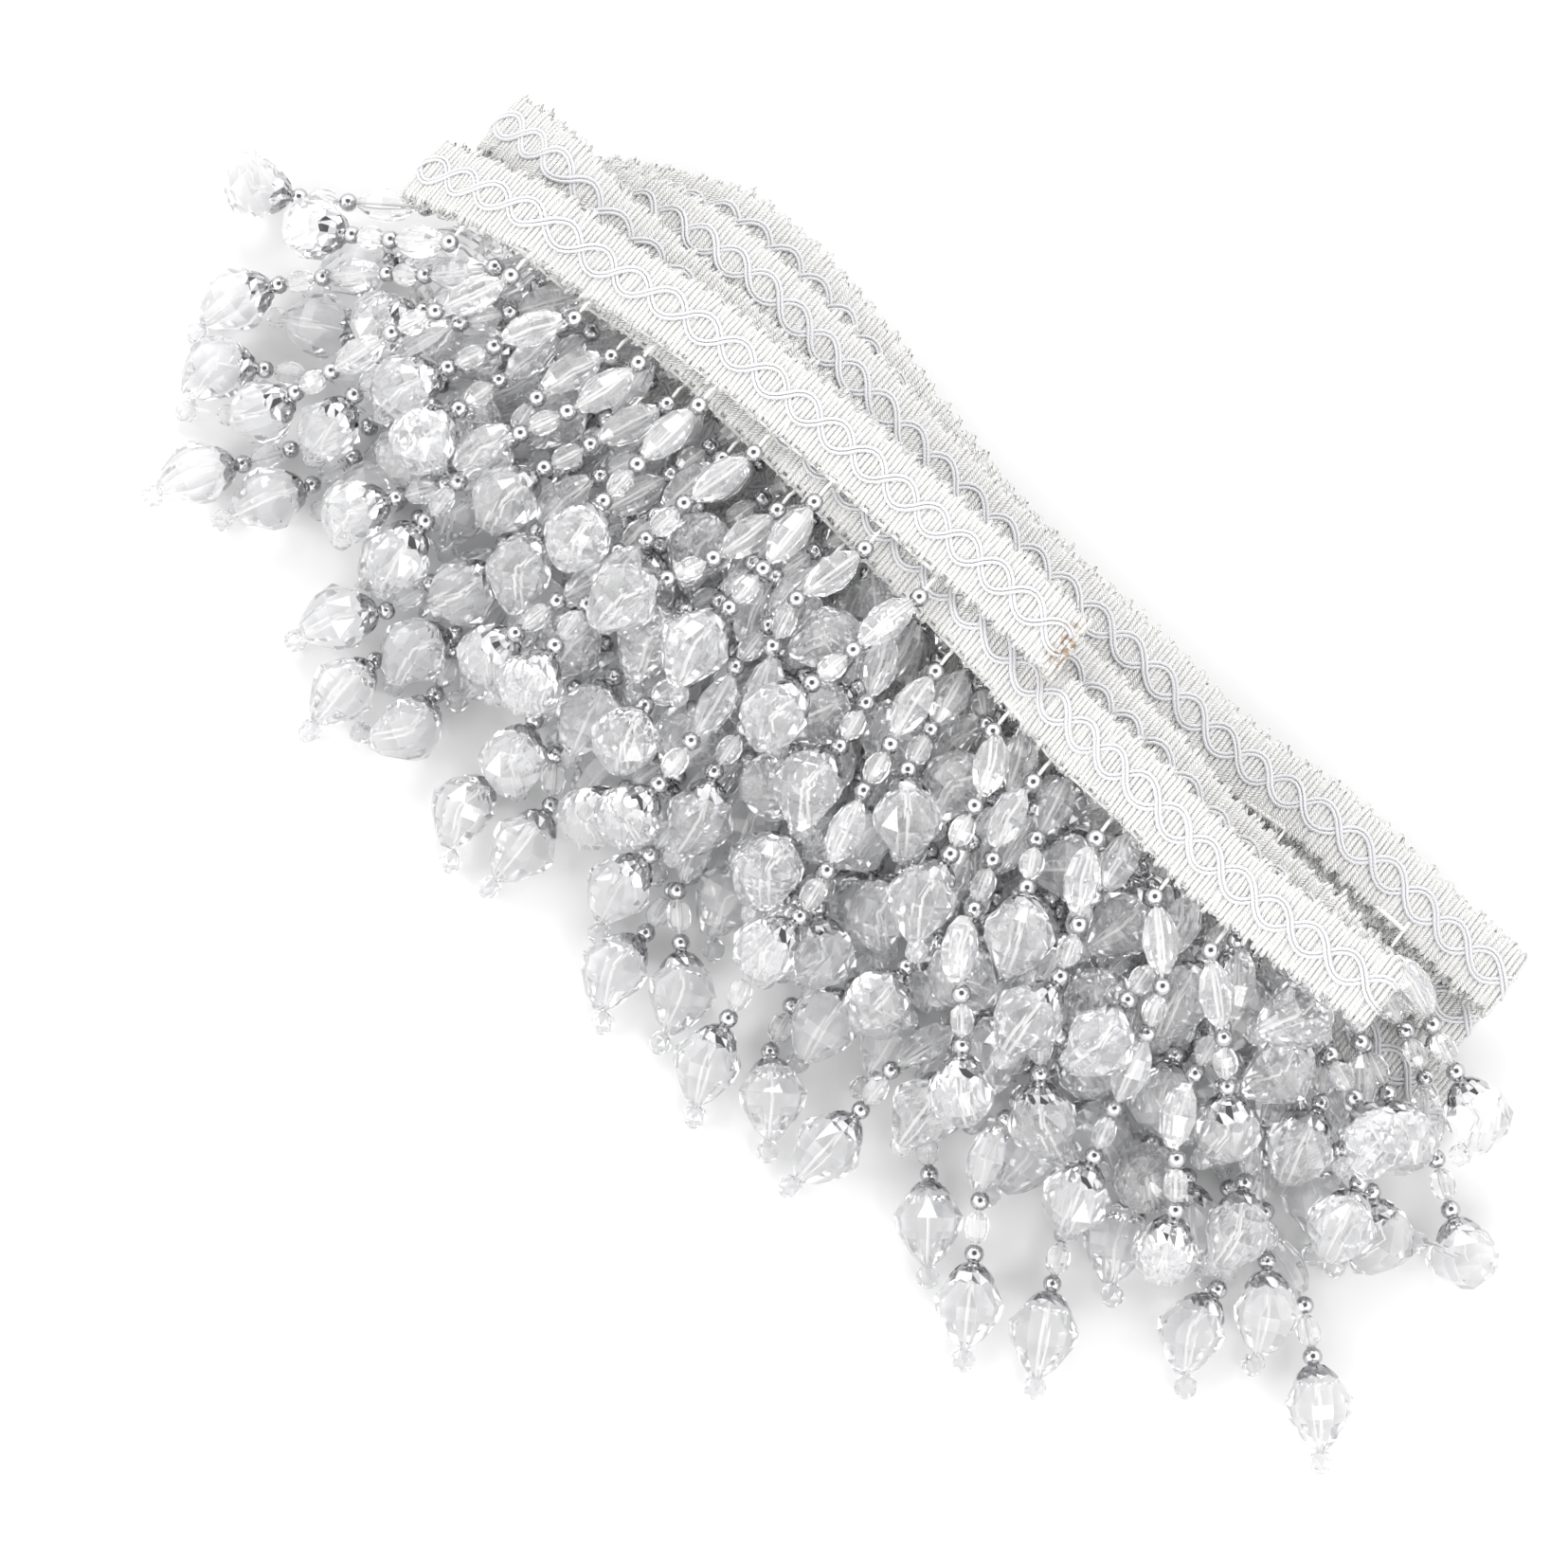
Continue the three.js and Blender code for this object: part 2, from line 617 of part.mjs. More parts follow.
// Strand of beads as one four-sided solid that swells at each large bead
function strandSolid(points, strand) {
  const up = new THREE.Vector3(0, 0, 1);
  const rows = [];
  for (let i = 0; i < strand.length - 1; i += 1) {
    const before = points[Math.max(i - 1, 0)];
    const along = new THREE.Vector3().subVectors(points[i + 1], before).normalize();
    const side = new THREE.Vector3().crossVectors(along, up).normalize();
    const top = new THREE.Vector3().crossVectors(side, along);
    rows.push(Array.from({ length: STRAND_SIDES }, (unused, corner) => {
      const turn = 2 * Math.PI * corner / STRAND_SIDES;
      return points[i].clone().addScaledVector(side, Math.cos(turn) * strand[i].radius)
        .addScaledVector(top, -Math.sin(turn) * strand[i].radius);
    }));
  }
  return loft(rows, points[strand.length - 1]);
}

// Solid for joining, from a geometry
function toManifold(geometry) {
  const merged = mergeVertices(geometry, MERGE_DISTANCE);
  const mesh = new wasm.Mesh({
    numProp: 3,
    vertProperties: new Float32Array(merged.attributes.position.array),
    triVerts: new Uint32Array(merged.index.array),
  });
  mesh.merge();
  return new wasm.Manifold(mesh);
}

// Geometry of a joined solid
function toGeometry(solid) {
  const mesh = solid.getMesh();
  const geometry = new THREE.BufferGeometry();
  geometry.setAttribute('position', new THREE.BufferAttribute(new Float32Array(mesh.vertProperties), 3));
  geometry.setIndex(new THREE.BufferAttribute(new Uint32Array(mesh.triVerts), 1));
  return geometry;
}

// Stations of a pass in the order in which the braid runs through it
function stationsOf(pass) {
  const count = Math.round(Math.abs(pass.end - pass.start) / STATION_STEP);
  return Array.from({ length: count + 1 }, (unused, i) => pass.start + (pass.end - pass.start) * i / count);
}

// Middle of the heading strip beside a pass
const stripY = (laid, x) => laid.yAt(x) - BRAID_WIDTH / 2 - PIECE_GAP - STRIP_WIDTH / 2;

// Strands of a pass, laid before the next pass comes down on them
function layStrands(laid) {
  const strands = [];
  const first = laid.low + STRIP_INSET + FIRST_STRAND + (laid.order % 3) * STRAND_PITCH / 3;
  for (let x = first; x < laid.high - STRIP_INSET - FIRST_STRAND; x += STRAND_PITCH) {
    const shape = (strands.length + laid.order) % 2 ? SHORT_STRAND : LONG_STRAND;
    const root = new THREE.Vector3(x, stripY(laid, x), laid.zAt(x));
    const points = layStrand(root, shape, laid.order * 41 + strands.length, laid);
    strands.push({ points, shape, pass: laid, rootX: x });
  }
  return strands;
}

// Heading strip of a pass, joined with the roots of its strands
function fringeSolid(laid, strands) {
  const xs = laid.rows.map((station) => station.x)
    .filter((x) => x > laid.low + STRIP_INSET && x < laid.high - STRIP_INSET);
  const centres = xs.map((x) => new THREE.Vector3(x, stripY(laid, x), laid.zAt(x)));
  let solid = toManifold(ribbon(centres, STRIP_WIDTH, STRIP_THICKNESS));
  for (const strand of strands) solid = solid.add(toManifold(strandSolid(strand.points, strand.shape)));
  return toGeometry(solid);
}

// Centreline of the fold that joins one pass to the next, round the outside of the turn
function foldCentres(fromZ, toZ, x, y) {
  const radius = (toZ - fromZ) / 2;
  const outward = Math.sign(x);
  return Array.from({ length: 2 * FOLD_STEPS - 1 }, (unused, i) => {
    const turn = Math.PI * (i + 1) / (2 * FOLD_STEPS);
    return new THREE.Vector3(x + outward * radius * Math.sin(turn), y, fromZ + radius * (1 - Math.cos(turn)));
  });
}

// Lays one pass of the braid on the pile, eased into the y of the folds at its two ends
function laidPass(pass, order) {
  const plan = planCurve(pass);
  const previous = pile.passes[order - 1];
  const following = PASSES[order + 1];
  const startY = previous ? previous.endY : plan(pass.start);
  const endY = following ? (plan(pass.end) + planCurve(following)(pass.end)) / 2 : plan(pass.end);
  const ease = (x, from) => 1 - THREE.MathUtils.smoothstep(Math.abs(x - from), 0, FOLD_REACH);
  const easedY = (x) => plan(x) + (startY - plan(pass.start)) * ease(x, pass.start)
    + (endY - plan(pass.end)) * ease(x, pass.end);
  const xs = stationsOf(pass);
  const rows = xs.map((x) => ({ x, y: easedY(x), z: 0 })).sort((a, b) => a.x - b.x);
  const yAt = (x) => between(rows, x, 'y');
  const zs = layPass(xs, yAt);
  for (const row of rows) row.z = zs[xs.indexOf(row.x)];
  const [low, high] = [rows[0].x, rows[rows.length - 1].x];
  return { order, xs, yAt, endY, startY, rows, low, high, zAt: (x) => between(rows, x, 'z') };
}

const strands = [];
PASSES.forEach((pass, order) => {
  const laid = laidPass(pass, order);
  pile.passes.push(laid);
  strands.push(...layStrands(laid));
});
settlePile(strands, pile.passes);

const braidCentres = pile.passes.flatMap((laid, order) => {
  const stretch = laid.xs.map((x) => new THREE.Vector3(x, laid.yAt(x), laid.zAt(x)));
  if (order === 0) return stretch;
  const previous = pile.passes[order - 1];
  const x = laid.xs[0];
  return [...foldCentres(previous.zAt(x), laid.zAt(x), x, laid.startY), ...stretch];
});

const trim = new THREE.Group();

// Adds one named solid to the trim
function addPiece(name, geometry, colour) {
  const material = new THREE.MeshStandardMaterial({ color: colour, roughness: 0.6, metalness: 0 });
  const mesh = new THREE.Mesh(geometry, material);
  mesh.name = name;
  trim.add(mesh);
}

addPiece('braid', ribbon(braidCentres, BRAID_WIDTH, BRAID_THICKNESS), COLOURS.braid);
for (const laid of pile.passes) {
  const own = strands.filter((strand) => strand.pass === laid);
  addPiece(`fringe_${PASSES[laid.order].name}`, fringeSolid(laid, own), COLOURS.strand);
}

// The origin is the middle of the footprint, on the surface
const box = new THREE.Box3().setFromObject(trim);
const centre = box.getCenter(new THREE.Vector3());
trim.position.set(-centre.x, -centre.y, -box.min.z);

export default trim;
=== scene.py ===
import math
import random

import bmesh
import bpy
import numpy as np
from bpy.props import FloatProperty, FloatVectorProperty, PointerProperty
from mathutils import Matrix, Vector


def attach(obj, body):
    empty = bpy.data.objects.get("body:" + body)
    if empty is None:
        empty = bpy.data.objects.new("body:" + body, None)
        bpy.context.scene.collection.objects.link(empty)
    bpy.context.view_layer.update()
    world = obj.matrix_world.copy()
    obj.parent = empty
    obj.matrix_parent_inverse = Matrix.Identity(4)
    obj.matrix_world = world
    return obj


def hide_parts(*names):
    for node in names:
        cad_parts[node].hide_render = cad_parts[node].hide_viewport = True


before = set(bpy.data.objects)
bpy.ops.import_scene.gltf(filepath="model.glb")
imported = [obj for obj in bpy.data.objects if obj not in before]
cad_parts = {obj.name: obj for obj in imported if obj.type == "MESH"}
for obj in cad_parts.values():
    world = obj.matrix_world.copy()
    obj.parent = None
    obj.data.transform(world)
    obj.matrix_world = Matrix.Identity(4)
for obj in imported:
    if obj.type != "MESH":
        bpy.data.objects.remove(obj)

bl_info = {
    "name": "Beaded fringe trim",
    "version": (1, 0, 0),
    "blender": (4, 5, 0),
    "location": "View3D > Sidebar > Fringe",
    "description": "A white gimp braid with strands of clear beads, folded back and forth into a bundle",
    "category": "Object",
}

MM = 0.001

# The solids: corners this close are one corner, how thick the braid is, and the names of its passes
SAME_PLACE = 0.002 * MM
SOLID_THICKNESS = 1.8 * MM
PASS_NAMES = [name[len("fringe_"):] for name in sorted(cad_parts) if name.startswith("fringe_")]

# Where the solids have their rings along a strand, from its root, in millimetres
LONG_RINGS = (3.2, 10.0, 16.9, 25.1, 32.0, 38.8, 47.5, 55.0, 63.0)
SHORT_RINGS = (3.2, 10.0, 16.9, 26.0, 33.5, 41.5)

# Bead kind and the place of its middle along a strand, in millimetres from the root
LONG_BEADS = (
    ("ball", 3.2), ("olive", 10.0), ("ball", 16.9), ("oval", 21.0), ("ball", 25.1), ("olive", 32.0),
    ("ball", 38.8), ("oval", 43.0), ("ball", 47.1), ("cap", 50.2), ("drop", 55.9), ("end", 64.2),
)
SHORT_BEADS = (
    ("ball", 3.2), ("olive", 10.0), ("ball", 16.9), ("oval", 21.1), ("ball", 25.2), ("cap", 28.4),
    ("drop", 34.2), ("end", 42.6),
)

# The edge cord that carries the strands: how far it is behind their roots, in millimetres, how far
# below them, and its width
HEADING_BACK, HEADING_DROP, HEADING_WIDTH = 1.9, 1.2 * MM, 0.8 * MM

# Places along a thread behind its root, in millimetres, where it runs in under the braid
THREAD_START = (-3.4, -1.0)

# The woven tape: its margin at each edge, the share of the rest that it covers, and its thickness
TAPE_MARGIN, TAPE_SHARE, TAPE_THICKNESS = 1.0 * MM, 0.9, 0.5 * MM

# The pieces that lie on the tape
YARN_PIECES = ("yarn_lower", "yarn_upper")
CORD_PIECES = ("cords_inner", "cords_outer")

# The dried glue: how its blot is stretched, its middle, and how far out it fades away and is full
STAIN_STRETCH = (1.3, 0.5, 0.6)
STAIN_MIDDLE = (0.0275, 0.0290, 0.0345)
STAIN_FADED, STAIN_FULL = 4.2 * MM, 1.2 * MM

# The studio's light, from the horizon up to the dark opening round the camera, and its lamps: name,
# place, width and power
WORLD_LIGHT = ((0.0, 0.36), (0.35, 0.9), (0.6, 0.86), (0.85, 0.72), (0.9, 0.05))
WORLD_STRENGTH = 2.95
LAMP_TARGET = (0.0, 0.0, 0.02)
LAMPS = (
    ("key", (-0.55, 0.75, 0.9), 0.4, 5),
    ("fill", (0.8, -0.35, 0.8), 0.4, 3.3),
    ("rim", (-0.6, -0.7, 0.6), 0.3, 2.6),
)

# The camera: its turn and height in degrees, its lens, what it looks at, and the width that it takes in
CAMERA_TURN, CAMERA_HEIGHT, CAMERA_LENS = 36.5, 76.0, 100
CAMERA_TARGET, CAMERA_SPAN = (0.0025, -0.0105, 0.016), 0.2465

# The places of the beads' materials on a strand
ACRYLIC, METAL, THREAD = range(3)


def millimetres(name, description, default, low, high):
    """A size that a user can change, given in millimetres."""
    return FloatProperty(
        name=name, description=description, default=default * MM, min=low * MM, max=high * MM,
        unit="LENGTH", subtype="DISTANCE", precision=5,
    )


def colour(name, description, default):
    """A colour that a user can change."""
    return FloatVectorProperty(
        name=name, description=description, default=default, size=3, min=0.0, max=1.0, subtype="COLOR",
    )


class BeadSizes(bpy.types.PropertyGroup):
    """Sizes and colours of the beads on the strands"""

    drop_width: millimetres("Drop width", "Widest place of the large faceted drop", 11.3, 8, 14)
    drop_length: millimetres("Drop length", "Length of the large faceted drop", 12.6, 9, 16)
    olive_width: millimetres("Olive width", "Widest place of the long faceted bead", 6.0, 4, 8)
    olive_length: millimetres("Olive length", "Length of the long faceted bead", 10.4, 7, 12)
    oval_width: millimetres("Oval width", "Widest place of the small oval bead", 4.1, 3, 5)
    oval_length: millimetres("Oval length", "Length of the small oval bead", 5.0, 4, 6)
    ball_width: millimetres("Metal ball", "Width of the bright metal ball", 3.2, 2.4, 4)
    end_width: millimetres("End ball", "Width of the clear ball at the tip", 3.9, 3, 5)
    cap_width: millimetres("Cap width", "Width of the metal petal cap over the drop", 6.6, 5, 8)
    thread_width: millimetres("Thread", "Width of the white thread", 0.55, 0.3, 1)
    tint: colour("Bead tint", "Tint of the clear acrylic", (0.98, 0.981, 0.998))
    metal: colour("Metal", "Colour of the bright metal", (0.42, 0.42, 0.43))


class BraidSizes(bpy.types.PropertyGroup):
    """Sizes and colours of the gimp braid"""

    width: millimetres("Braid width", "Width over the looped edges", 13.3, 10, 18)
    yarn_width: millimetres("Yarn width", "Width of the crossing yarn", 0.84, 0.4, 1.5)
    yarn_pitch: millimetres("Yarn pitch", "Distance from one crossing to the next", 0.43, 0.3, 1.2)
    scallop_pitch: millimetres("Scallop pitch", "Distance between the lobes of an edge", 3.45, 2, 6)
    scallop_depth: millimetres("Scallop depth", "How deep the edge dips between lobes", 1.1, 0, 1.5)
    oval_pitch: millimetres("Oval pitch", "Length of one oval in the chain of cords", 6.9, 5, 9)
    oval_height: millimetres("Oval height", "Height of one oval, cord middle to middle", 4.7, 3, 6)
    cord_width: millimetres("Cord width", "Width of one satin cord", 0.64, 0.4, 1)
    yarn_colour: colour("Yarn", "Colour of the crossing yarn", (0.70, 0.695, 0.68))
    cord_colour: colour("Satin cord", "Colour of the satin cords", (0.50, 0.50, 0.52))
    stain_colour: colour("Glue stain", "Colour of the dried glue at the join", (0.25, 0.15, 0.06))


def beads():
    """The bead sizes and colours of this scene."""
    return bpy.context.scene.fringe_beads


def braid():
    """The braid sizes and colours of this scene."""
    return bpy.context.scene.fringe_braid


def deselect_all():
    """Leaves nothing selected, so an operator acts on the new piece alone."""
    if bpy.context.mode != "OBJECT":
        bpy.ops.object.mode_set(mode="OBJECT")
    bpy.ops.object.select_all(action="DESELECT")


# Materials

def node_material(name):
    """An empty material with its nodes, its surface shader and a helper that links two sockets."""
    material = bpy.data.materials.new(name)
    material.use_nodes = True
    nodes = material.node_tree.nodes
    surface = nodes["Principled BSDF"]

    def link(source, output, target, entry):
        material.node_tree.links.new(source.outputs[output], target.inputs[entry])

    return material, nodes, surface, link


def noise(nodes, link, coordinates, output, scale, detail=3.0):
    """A noise texture read from the given coordinates."""
    texture = nodes.new("ShaderNodeTexNoise")
    texture.inputs["Scale"].default_value = scale
    texture.inputs["Detail"].default_value = detail
    link(coordinates, output, texture, "Vector")
    return texture


def ramp(nodes, link, source, output, stops):
    """A colour ramp with the given stops of place and colour."""
    made = nodes.new("ShaderNodeValToRGB")
    elements = made.color_ramp.elements
    while len(elements) < len(stops):
        elements.new(0.5)
    for element, (place, shade) in zip(elements, stops):
        element.position = place
        element.color = (*shade, 1.0)
    link(source, output, made, "Fac")
    return made


def bump(nodes, link, height, output, surface, strength, distance):
    """Relief on a surface from a height value."""
    relief = nodes.new("ShaderNodeBump")
    relief.inputs["Strength"].default_value = strength
    relief.inputs["Distance"].default_value = distance
    link(height, output, relief, "Height")
    link(relief, "Normal", surface, "Normal")
    return relief


def scaled(shade, factor):
    """A colour made lighter or darker by a factor."""
    return tuple(min(1.0, channel * factor) for channel in shade)


def clouded(nodes, link, surface, scale, tones, polish):
    """A tone and a polish that both change softly over a surface with one noise texture."""
    place = nodes.new("ShaderNodeTexCoord")
    cloud = noise(nodes, link, place, "Object", scale)
    tone = ramp(nodes, link, cloud, "Fac", tones)
    link(tone, "Color", surface, "Base Color")
    wear = nodes.new("ShaderNodeMapRange")
    wear.inputs["To Min"].default_value, wear.inputs["To Max"].default_value = polish
    link(cloud, "Fac", wear, "Value")
    link(wear, "Result", surface, "Roughness")


def clear_acrylic():
    """Clear polished acrylic with a faint lavender tint."""
    material, nodes, surface, link = node_material("clear acrylic")
    tint = beads().tint
    tones = [(0.35, scaled(tint, 0.98)), (0.65, scaled(tint, 1.01))]
    clouded(nodes, link, surface, 160.0, tones, (0.02, 0.09))
    surface.inputs["IOR"].default_value = 1.49
    surface.inputs["Transmission Weight"].default_value = 0.9
    surface.inputs["Coat Weight"].default_value = 0.45
    surface.inputs["Coat Roughness"].default_value = 0.03
    return material


def bright_metal():
    """The bright metal coating of the small balls and caps."""
    material, nodes, surface, link = node_material("bright metal")
    metal = beads().metal
    tones = [(0.3, scaled(metal, 0.88)), (0.7, scaled(metal, 1.08))]
    clouded(nodes, link, surface, 420.0, tones, (0.03, 0.12))
    surface.inputs["Metallic"].default_value = 1.0
    return material


def white_thread():
    """The white twisted thread that carries the beads."""
    material, nodes, surface, link = node_material("white thread")
    place = nodes.new("ShaderNodeTexCoord")
    fibre = noise(nodes, link, place, "Object", 2600.0)
    shade = braid().yarn_colour
    tone = ramp(nodes, link, fibre, "Fac", [(0.3, scaled(shade, 0.86)), (0.7, shade)])
    link(tone, "Color", surface, "Base Color")
    surface.inputs["Roughness"].default_value = 0.7
    bump(nodes, link, fibre, "Fac", surface, 0.5, 0.0001)
    return material


def stained(nodes, link, tone, surface):
    """Gives a surface its tone, with the amber of dried glue over it near the cut end of the top pass."""
    place = nodes.new("ShaderNodeTexCoord")
    middle = nodes.new("ShaderNodeMapping")
    middle.vector_type = "POINT"
    middle.inputs["Scale"].default_value = STAIN_STRETCH
    middle.inputs["Location"].default_value = [
        -part * scale for part, scale in zip(STAIN_MIDDLE, STAIN_STRETCH)
    ]
    link(place, "Object", middle, "Vector")
    reach = nodes.new("ShaderNodeVectorMath")
    reach.operation = "LENGTH"
    link(middle, "Vector", reach, 0)
    near = nodes.new("ShaderNodeMapRange")
    near.inputs["From Min"].default_value = STAIN_FADED
    near.inputs["From Max"].default_value = STAIN_FULL
    link(reach, "Value", near, "Value")
    blotches = noise(nodes, link, place, "Object", 850.0, 4.0)
    patchy = nodes.new("ShaderNodeMapRange")
    patchy.inputs["From Min"].default_value = 0.5
    patchy.inputs["From Max"].default_value = 0.62
    patchy.inputs["To Min"].default_value = 0.07
    link(blotches, "Fac", patchy, "Value")
    mask = nodes.new("ShaderNodeMath")
    mask.operation = "MULTIPLY"
    link(near, "Result", mask, 0)
    link(patchy, "Result", mask, 1)
    mixed = nodes.new("ShaderNodeMix")
    mixed.data_type = "RGBA"
    mixed.inputs["B"].default_value = (*braid().stain_colour, 1.0)
    link(mask, "Value", mixed, "Factor")
    link(tone, "Color", mixed, "A")
    link(mixed, "Result", surface, "Base Color")


def twisted(nodes, link, scale, distortion, detail):
    """The slanting twist of a yarn or cord, read along its length."""
    along = nodes.new("ShaderNodeUVMap")
    along.uv_map = "along"
    twist = nodes.new("ShaderNodeTexWave")
    twist.bands_direction = "DIAGONAL"
    twist.inputs["Scale"].default_value = scale
    twist.inputs["Distortion"].default_value = distortion
    twist.inputs["Detail"].default_value = detail
    link(along, "UV", twist, "Vector")
    return twist


def yarn_cloth(name, shade, strength):
    """Matt yarn of many fine fibres, read along the yarn, with painted shade in the grooves of its twist, a
    painted highlight on its ridges, and the glue stain.
    """
    material, nodes, surface, link = node_material(name)
    twist = twisted(nodes, link, 1.3, 5.0, 3.0)
    # The tone follows the twist's relief: darker where it is low and lighter where it is high, a painted
    # shade in the grooves and a painted highlight on the ridges.
    tones = [(0.0, scaled(shade, 0.88)), (0.55, shade), (1.0, scaled(shade, 1.07))]
    stained(nodes, link, ramp(nodes, link, twist, "Fac", tones), surface)
    surface.inputs["Roughness"].default_value = 0.85
    surface.inputs["Sheen Weight"].default_value = 0.25
    surface.inputs["Sheen Roughness"].default_value = 0.5
    bump(nodes, link, twist, "Fac", surface, strength, 0.0005)
    return material


def satin_cord():
    """The smooth silvery satin of the paired cords, with painted shade in the grooves of the twist and a
    painted highlight on its ridges.
    """
    material, nodes, surface, link = node_material("satin cord")
    twist = twisted(nodes, link, 1.1, 1.2, 2.0)
    shade = braid().cord_colour
    # The tone follows the twist's relief: darker where it is low and brighter where it is high, a painted
    # shade in the grooves and a painted highlight on the ridges.
    tones = [(0.0, scaled(shade, 0.8)), (0.6, shade), (1.0, scaled(shade, 1.12))]
    stained(nodes, link, ramp(nodes, link, twist, "Fac", tones), surface)
    surface.inputs["Roughness"].default_value = 0.34
    surface.inputs["Specular IOR Level"].default_value = 0.6
    bump(nodes, link, twist, "Fac", surface, 0.35, 0.00012)
    return material


def pale_floor():
    """A plain pale floor with a faint grain."""
    material, nodes, surface, link = node_material("pale floor")
    place = nodes.new("ShaderNodeTexCoord")
    grain = noise(nodes, link, place, "Object", 30.0)
    tone = ramp(nodes, link, grain, "Fac", [(0.3, (0.63, 0.63, 0.63)), (0.7, (0.65, 0.65, 0.65))])
    link(tone, "Color", surface, "Base Color")
    surface.inputs["Roughness"].default_value = 0.9
    return material


# Reading the solids: where the braid and the strands run

def merged_solid(node):
    """A copy of a solid's mesh with its loose triangles merged."""
    mesh = bmesh.new()
    mesh.from_mesh(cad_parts[node].data)
    bmesh.ops.remove_doubles(mesh, verts=mesh.verts, dist=SAME_PLACE)
    mesh.verts.index_update()
    return mesh


def neighbours(corner):
    """The corners that share an edge with a corner."""
    return {edge.other_vert(corner) for edge in corner.link_edges}


def middle_of(corners):
    """The middle of some corners, summed in one order so that it is the same each time."""
    ordered = sorted(corners, key=lambda corner: corner.index)
    return sum((corner.co for corner in ordered), Vector()) / len(ordered)


def strand_routes(node):
    """For each strand of a fringe, whether it is long, and its places and points from root to tip."""
    mesh = merged_solid(node)
    routes, slimmest_ring = [], 1.25 * MM
    for tip in mesh.verts:
        level = neighbours(tip)
        if len(level) != 4 or any(len(neighbours(corner) & level) != 2 for corner in level):
            continue
        seen = {tip} | level
        middles = []
        while len(level) == 4:
            middle = middle_of(level)
            if sum((corner.co - middle).length for corner in level) / 4 < slimmest_ring:
                break
            middles.append(middle)
            level = set().union(*(neighbours(corner) for corner in level)) - seen
            seen |= level
        if len(middles) in (len(LONG_RINGS), len(SHORT_RINGS)):
            is_long = len(middles) == len(LONG_RINGS)
            rings = LONG_RINGS if is_long else SHORT_RINGS
            middles.reverse()
            root = middles[0] + Vector((0, rings[0] * MM, 0))
            end = tip.co.copy()
            places = [0.0, *rings, rings[-1] + (end - middles[-1]).length / MM]
            routes.append((is_long, places, [root, *middles, end]))
    mesh.free()
    routes.sort(key=lambda route: route[2][0].x)
    return routes


def point_at(places, points, along):
    """The point of a route at a distance from its root, in millimetres, or under the braid if below 0."""
    if along < 0:
        return points[0] + Vector((0, -along * MM, -HEADING_DROP))
    for low, high, start, end in zip(places, places[1:], points, points[1:]):
        if along <= high:
            return start.lerp(end, (along - low) / (high - low))
    return points[-1].lerp(points[-2], -(along - places[-1]) / (places[-1] - places[-2]))


def braid_middles():
    """The middle of the braid, section by section, from its lowest end to its cut end."""
    mesh = merged_solid("braid")
    shortest_crossing, level_slack, thickness_slack = 8 * MM, 0.01 * MM, 0.03 * MM

    # The edges that run straight across the braid, above and below it
    across = [
        edge for edge in mesh.edges
        if abs(edge.verts[0].co.y - edge.verts[1].co.y) > shortest_crossing
        and (edge.verts[0].co - edge.verts[1].co).xz.length < SAME_PLACE
    ]
    middles = [middle_of(edge.verts) for edge in across]

    # Two of them make a section where they are one thickness apart, best where an edge links them
    pairs = []
    for index, middle in enumerate(middles):
        beside = set().union(*(neighbours(corner) for corner in across[index].verts))
        for partner in range(index + 1, len(middles)):
            gap = middles[partner] - middle
            miss = abs(gap.length - SOLID_THICKNESS)
            if abs(gap.y) < level_slack and miss < thickness_slack:
                linked = not beside.isdisjoint(across[partner].verts)
                pairs.append((not linked, miss, index, partner))
    section_of, sections, paired = {}, [], set()
    for _, _, index, partner in sorted(pairs):
        if not {index, partner} & paired:
            paired |= {index, partner}
            for corner in (*across[index].verts, *across[partner].verts):
                section_of[corner] = len(sections)
            sections.append((middles[index] + middles[partner]) / 2)

    # The sections are walked from neighbour to neighbour, from the lowest end on
    corners = [[] for _ in sections]
    for corner, section in section_of.items():
        corners[section].append(corner)
    ends = [section_of[corner] for corner in section_of if len(corner.link_edges) == 4]
    current = min(ends, key=lambda section: sections[section].z)
    order, seen = [current], {current}
    while True:
        beside = {
            section_of[other]
            for corner in corners[current] for other in neighbours(corner) if other in section_of
        } - seen
        if not beside:
            break
        current = min(beside, key=lambda section: (sections[section] - sections[order[-1]]).length)
        order.append(current)
        seen.add(current)
    mesh.free()
    return np.array([sections[section] for section in order])


def even_steps(points, step):
    """Points at even steps along a line."""
    lengths = np.concatenate(([0.0], np.cumsum(np.linalg.norm(np.diff(points, axis=0), axis=1))))
    places = np.linspace(0.0, lengths[-1], round(lengths[-1] / step) + 1)
    return np.stack([np.interp(places, lengths, points[:, part]) for part in range(3)], axis=1)


def smoothed(points, reach):
    """A line with its corners rounded by a running mean, with its two ends kept."""
    padded = np.concatenate((
        2 * points[0] - points[reach:0:-1], points, 2 * points[-1] - points[-2:-reach - 2:-1],
    ))
    kernel = np.ones(2 * reach + 1) / (2 * reach + 1)
    return np.stack([np.convolve(padded[:, part], kernel, "valid") for part in range(3)], axis=1)


